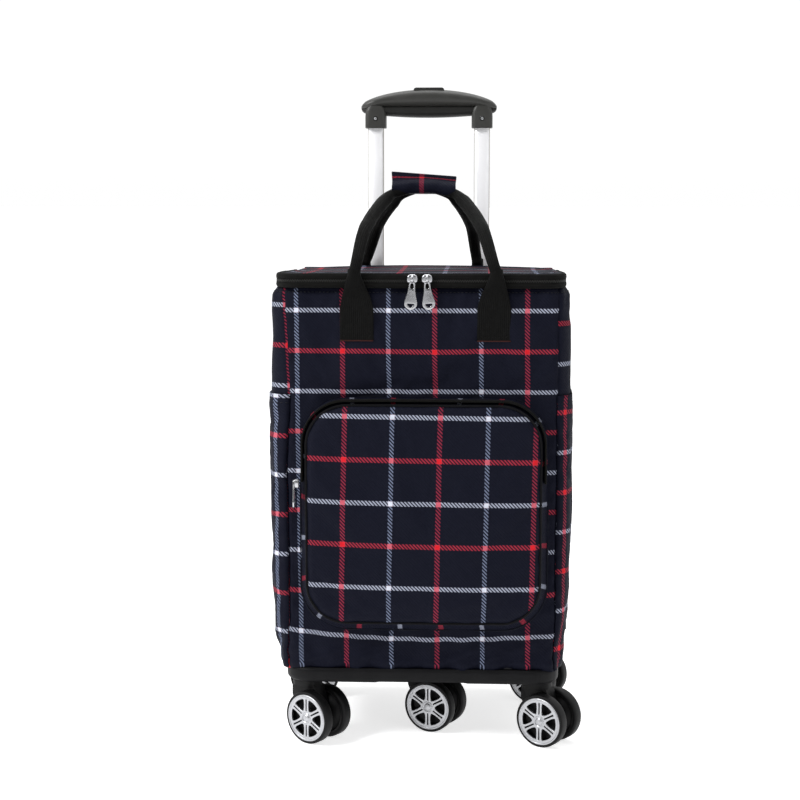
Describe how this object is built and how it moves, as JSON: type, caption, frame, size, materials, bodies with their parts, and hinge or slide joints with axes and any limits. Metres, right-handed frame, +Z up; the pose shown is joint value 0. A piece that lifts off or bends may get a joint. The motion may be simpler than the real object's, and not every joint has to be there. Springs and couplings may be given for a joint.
{
  "type": "folding shopping trolley",
  "caption": "Folding shopping trolley: a soft plaid bag on a hinged tray with swivelling twin-wheel casters, a telescopic handle, joined carry loops and zipped pockets.",
  "frame": {"origin": "on the floor, under the middle of the whole trolley's box", "axes": "+Z up, -Y towards the front pocket, +X to the right seen from the front"},
  "size_m": [0.3509, 0.2702, 0.7412],
  "materials": {
    "plaid_fabric": "woven plaid twill, navy with red and white stripes",
    "black_webbing": "ribbed webbing",
    "black_plastic": "moulded",
    "stiff_board": "plain board",
    "bright_aluminium": "drawn and bright",
    "grey_plastic": "fine grain",
    "pin_steel": "plain",
    "zip_metal": "polished",
    "tyre_rubber": "smooth",
    "silver_rim": "silver lacquer"
  },
  "bodies": {
    "frame": {"bag_back": "plaid_fabric", "bag_side_left": "plaid_fabric", "bag_side_right": "plaid_fabric", "side_pocket_left": "plaid_fabric", "side_pocket_right": "plaid_fabric", "back_board": "stiff_board", "hinge_beam": "black_plastic", "hinge_pin": "pin_steel", "outer_tube_left": "bright_aluminium", "outer_tube_right": "bright_aluminium", "tube_clamp": "black_plastic"},
    "front": {"bag_front": "plaid_fabric", "front_pocket": "plaid_fabric", "front_tab_left": "black_webbing", "front_tab_right": "black_webbing"},
    "lid": {"lid": "plaid_fabric"},
    "front_loop": {"front_loop": "black_webbing", "grip_wrap": "plaid_fabric"},
    "rear_loop": {"rear_loop": "black_webbing"},
    "handle": {"inner_tube_left": "bright_aluminium", "inner_tube_right": "bright_aluminium", "grip_lower": "grey_plastic", "grip_cover": "grey_plastic"},
    "button": {"release_button": "grey_plastic"},
    "tray": {"base_tray": "black_plastic", "floor_board": "stiff_board"},
    "zip_left": {"zip_slider_left": "zip_metal"},
    "pull_left": {"zip_pull_left": "zip_metal"},
    "zip_right": {"zip_slider_right": "zip_metal"},
    "pull_right": {"zip_pull_right": "zip_metal"},
    "front_left_caster": {"front_left_fork": "black_plastic", "front_left_axle": "pin_steel"},
    "front_left_wheel_a": {"front_left_tyre_a": "tyre_rubber", "front_left_rim_a": "silver_rim"},
    "front_left_wheel_b": {"front_left_tyre_b": "tyre_rubber", "front_left_rim_b": "silver_rim"},
    "front_right_caster": {"front_right_fork": "black_plastic", "front_right_axle": "pin_steel"},
    "front_right_wheel_a": {"front_right_tyre_a": "tyre_rubber", "front_right_rim_a": "silver_rim"},
    "front_right_wheel_b": {"front_right_tyre_b": "tyre_rubber", "front_right_rim_b": "silver_rim"},
    "middle_caster": {"middle_fork": "black_plastic", "middle_axle": "pin_steel"},
    "middle_wheel_a": {"middle_tyre_a": "tyre_rubber", "middle_rim_a": "silver_rim"},
    "middle_wheel_b": {"middle_tyre_b": "tyre_rubber", "middle_rim_b": "silver_rim"},
    "rear_left_caster": {"rear_left_fork": "black_plastic", "rear_left_axle": "pin_steel"},
    "rear_left_wheel_a": {"rear_left_tyre_a": "tyre_rubber", "rear_left_rim_a": "silver_rim"},
    "rear_left_wheel_b": {"rear_left_tyre_b": "tyre_rubber", "rear_left_rim_b": "silver_rim"},
    "rear_right_caster": {"rear_right_fork": "black_plastic", "rear_right_axle": "pin_steel"},
    "rear_right_wheel_a": {"rear_right_tyre_a": "tyre_rubber", "rear_right_rim_a": "silver_rim"},
    "rear_right_wheel_b": {"rear_right_tyre_b": "tyre_rubber", "rear_right_rim_b": "silver_rim"}
  },
  "joints": [
    {"name": "base_fold", "type": "hinge", "parent": "frame", "child": "tray", "pos_m": [0, 0.122, 0.13], "axis": [1, 0, 0], "range_deg": [-90, 0], "deforming": ["bag_front", "bag_back", "bag_side_left", "bag_side_right", "side_pocket_left", "side_pocket_right", "front_pocket", "lid", "front_loop", "rear_loop", "grip_wrap"]},
    {"name": "bag_collapse", "type": "slide", "parent": "frame", "child": "front", "axis": [0, -1, 0], "range_m": [-0.188, 0]},
    {"name": "lid_hinge", "type": "hinge", "parent": "frame", "child": "lid", "pos_m": [0, 0.095, 0.533], "axis": [-1, 0, 0], "range_deg": [0, 75]},
    {"name": "front_loop_swing", "type": "hinge", "parent": "front", "child": "front_loop", "pos_m": [0, -0.112, 0.53], "axis": [1, 0, 0], "range_deg": [0, 128]},
    {"name": "rear_loop_swing", "type": "hinge", "parent": "frame", "child": "rear_loop", "pos_m": [0, 0.101, 0.532], "axis": [-1, 0, 0], "range_deg": [0, 42]},
    {"name": "handle_slide", "type": "slide", "parent": "frame", "child": "handle", "axis": [0, 0, 1], "range_m": [-0.16, 0.16]},
    {"name": "button_press", "type": "slide", "parent": "handle", "child": "button", "axis": [0, 0, -1], "range_m": [0, 0.003], "stiffness_N_per_m": 500, "springref_m": -0.002},
    {"name": "zip_left_run", "type": "slide", "parent": "front", "child": "zip_left", "axis": [-1, 0, 0], "range_m": [0, 0.12]},
    {"name": "pull_left_swing", "type": "hinge", "parent": "zip_left", "child": "pull_left", "pos_m": [-0.0065, -0.11335, 0.5225], "axis": [-1, 0, 0], "range_deg": [0, 110]},
    {"name": "zip_right_run", "type": "slide", "parent": "front", "child": "zip_right", "axis": [1, 0, 0], "range_m": [0, 0.12]},
    {"name": "pull_right_swing", "type": "hinge", "parent": "zip_right", "child": "pull_right", "pos_m": [0.0065, -0.11335, 0.5225], "axis": [-1, 0, 0], "range_deg": [0, 110]},
    {"name": "front_left_swivel", "type": "hinge", "parent": "tray", "child": "front_left_caster", "pos_m": [-0.13, -0.08, 0.075], "axis": [0, 0, 1], "continuous": true},
    {"name": "front_left_spin_a", "type": "hinge", "parent": "front_left_caster", "child": "front_left_wheel_a", "pos_m": [-0.11689, -0.08918, 0.02974], "axis": [0.5736, 0.8192, 0], "continuous": true},
    {"name": "front_left_spin_b", "type": "hinge", "parent": "front_left_caster", "child": "front_left_wheel_b", "pos_m": [-0.11689, -0.08918, 0.02974], "axis": [0.5736, 0.8192, 0], "continuous": true},
    {"name": "front_right_swivel", "type": "hinge", "parent": "tray", "child": "front_right_caster", "pos_m": [0.13, -0.08, 0.075], "axis": [0, 0, 1], "continuous": true},
    {"name": "front_right_spin_a", "type": "hinge", "parent": "front_right_caster", "child": "front_right_wheel_a", "pos_m": [0.14342, -0.08871, 0.02974], "axis": [0.5446, 0.8387, 0], "continuous": true},
    {"name": "front_right_spin_b", "type": "hinge", "parent": "front_right_caster", "child": "front_right_wheel_b", "pos_m": [0.14342, -0.08871, 0.02974], "axis": [0.5446, 0.8387, 0], "continuous": true},
    {"name": "middle_swivel", "type": "hinge", "parent": "tray", "child": "middle_caster", "pos_m": [0, -0.033, 0.075], "axis": [0, 0, 1], "continuous": true},
    {"name": "middle_spin_a", "type": "hinge", "parent": "middle_caster", "child": "middle_wheel_a", "pos_m": [0.01462, -0.03951, 0.02974], "axis": [0.4067, 0.9135, 0], "continuous": true},
    {"name": "middle_spin_b", "type": "hinge", "parent": "middle_caster", "child": "middle_wheel_b", "pos_m": [0.01462, -0.03951, 0.02974], "axis": [0.4067, 0.9135, 0], "continuous": true},
    {"name": "rear_left_swivel", "type": "hinge", "parent": "tray", "child": "rear_left_caster", "pos_m": [-0.122, 0.082, 0.075], "axis": [0, 0, 1], "continuous": true},
    {"name": "rear_left_spin_a", "type": "hinge", "parent": "rear_left_caster", "child": "rear_left_wheel_a", "pos_m": [-0.13796, 0.08088, 0.02974], "axis": [0.0698, -0.9976, 0], "continuous": true},
    {"name": "rear_left_spin_b", "type": "hinge", "parent": "rear_left_caster", "child": "rear_left_wheel_b", "pos_m": [-0.13796, 0.08088, 0.02974], "axis": [0.0698, -0.9976, 0], "continuous": true},
    {"name": "rear_right_swivel", "type": "hinge", "parent": "tray", "child": "rear_right_caster", "pos_m": [0.122, 0.082, 0.075], "axis": [0, 0, 1], "continuous": true},
    {"name": "rear_right_spin_a", "type": "hinge", "parent": "rear_right_caster", "child": "rear_right_wheel_a", "pos_m": [0.13626, 0.07474, 0.02974], "axis": [0.454, 0.891, 0], "continuous": true},
    {"name": "rear_right_spin_b", "type": "hinge", "parent": "rear_right_caster", "child": "rear_right_wheel_b", "pos_m": [0.13626, 0.07474, 0.02974], "axis": [0.454, 0.891, 0], "continuous": true}
  ],
  "couplings": [
    {"joint": "bag_collapse", "follows": "base_fold", "m_per_rad": 0.11905},
    {"joint": "front_loop_swing", "follows": "lid_hinge", "ratio": 1.7},
    {"joint": "rear_loop_swing", "follows": "lid_hinge", "ratio": 0.56}
  ]
}
